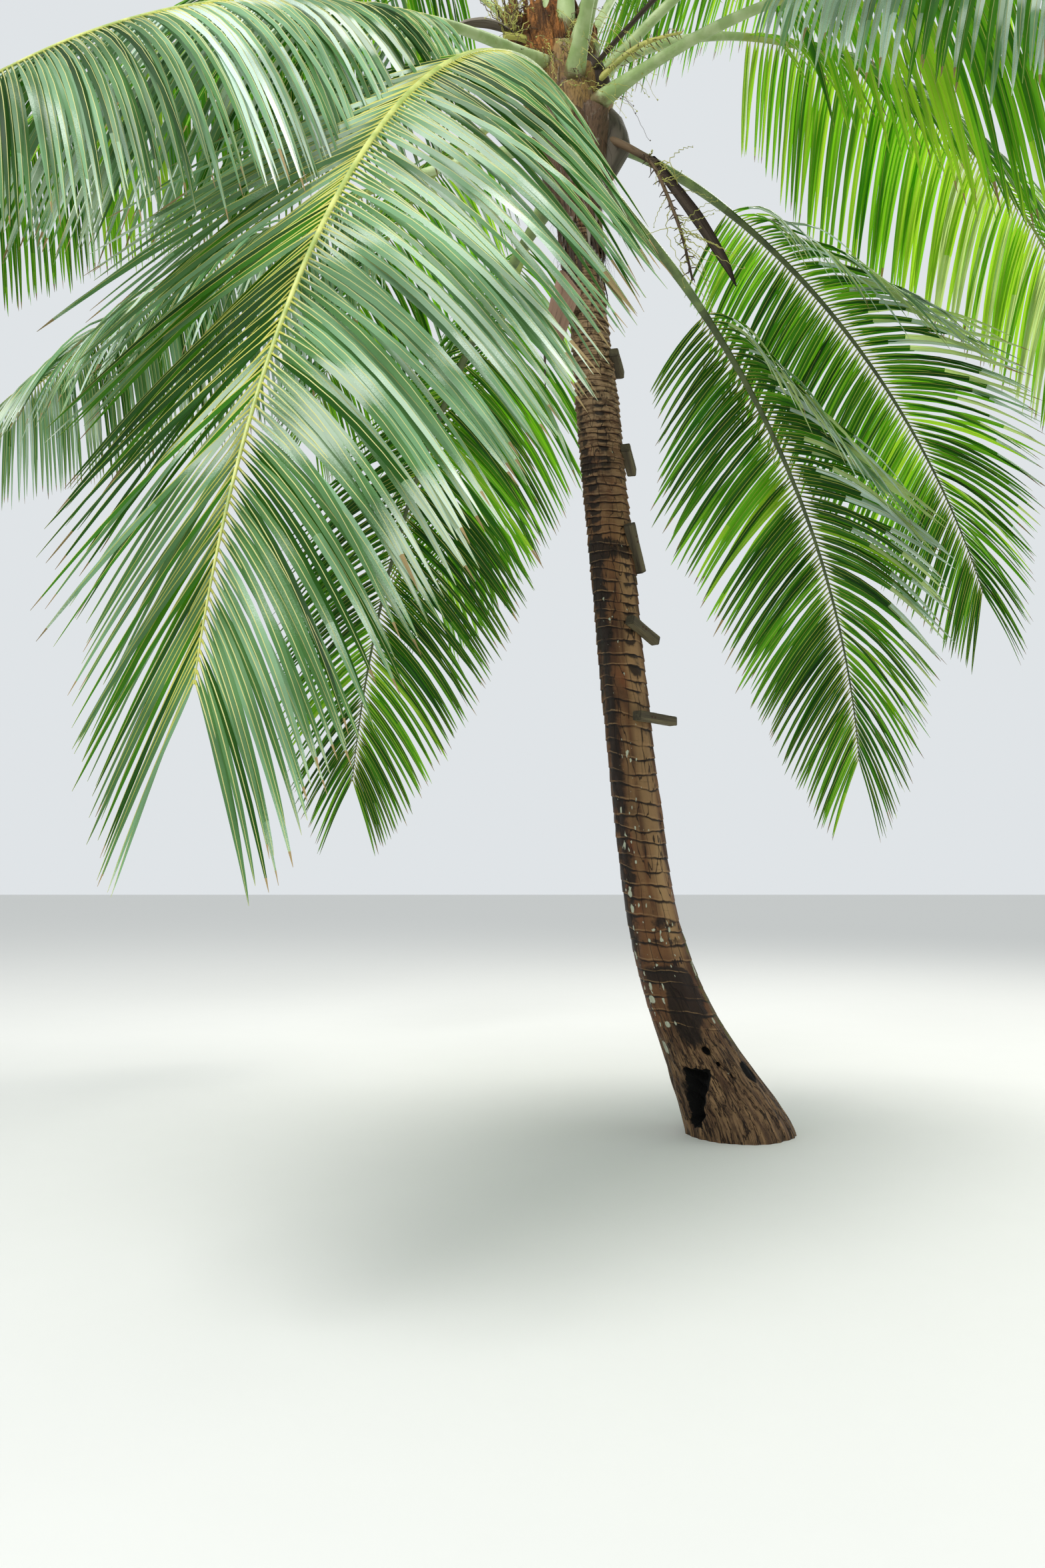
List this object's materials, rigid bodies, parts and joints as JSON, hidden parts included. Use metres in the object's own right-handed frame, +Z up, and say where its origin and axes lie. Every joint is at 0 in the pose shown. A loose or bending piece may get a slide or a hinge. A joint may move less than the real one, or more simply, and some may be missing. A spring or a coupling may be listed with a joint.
{
  "type": "coconut palm",
  "caption": "Leaning coconut palm with a ringed trunk, a flared hollowed foot, nailed climbing steps and a full crown of arching fronds.",
  "frame": {"origin": "middle of the flat cut under the trunk, at ground level", "axes": "+Z up; the trunk's foot sweeps and leans towards -X; +Y points away from the side with the hollow and the climbing steps"},
  "size_m": [8.3811, 8.1451, 9.262],
  "materials": {
    "bark": "ringed bark, weathered, scorched at the foot",
    "fibre": "woven brown leaf base fibre",
    "old_wood": "grey brown weathered sawn wood",
    "dry_stalk": "dry grey brown stalk and leaf base",
    "dark_sheath": "dark dry flower sheath",
    "pale_stalk": "pale green and yellow flower stalk",
    "leaf": "green leaflets, slightly glossy",
    "young_leaf": "yellow green young leaflets"
  },
  "bodies": {
    "root": {"trunk": "bark", "crown_sheath": "fibre", "spear_leaf": "young_leaf", "climbing_step_1": "old_wood", "climbing_step_2": "old_wood", "climbing_step_3": "old_wood", "climbing_step_4": "old_wood", "climbing_step_5": "old_wood", "spent_flower_right": "dry_stalk", "flower_stalk_right": "pale_stalk", "dark_sheath_right": "dark_sheath", "flower_cluster_left": "pale_stalk", "hanging_leaf_base": "dry_stalk", "frond_01_inner": "leaf", "frond_01_outer": "leaf", "frond_02_inner": "leaf", "frond_02_outer": "leaf", "frond_03_inner": "leaf", "frond_03_outer": "leaf", "frond_04_inner": "leaf", "frond_04_outer": "leaf", "frond_05_inner": "leaf", "frond_05_outer": "leaf", "frond_06_inner": "leaf", "frond_06_outer": "leaf", "frond_07_inner": "leaf", "frond_07_outer": "leaf", "frond_08_inner": "leaf", "frond_08_outer": "leaf", "frond_09_inner": "leaf", "frond_09_outer": "leaf", "frond_10_inner": "leaf", "frond_10_outer": "leaf", "frond_11_inner": "leaf", "frond_11_outer": "leaf", "frond_12_inner": "leaf", "frond_12_outer": "leaf", "frond_13_inner": "leaf", "frond_13_outer": "leaf", "frond_14_inner": "leaf", "frond_14_outer": "leaf", "frond_15_inner": "leaf", "frond_15_outer": "leaf", "frond_16_inner": "leaf", "frond_16_outer": "leaf", "frond_17": "young_leaf", "frond_18": "young_leaf", "frond_19": "young_leaf", "frond_20": "young_leaf"}
  },
  "joints": []
}
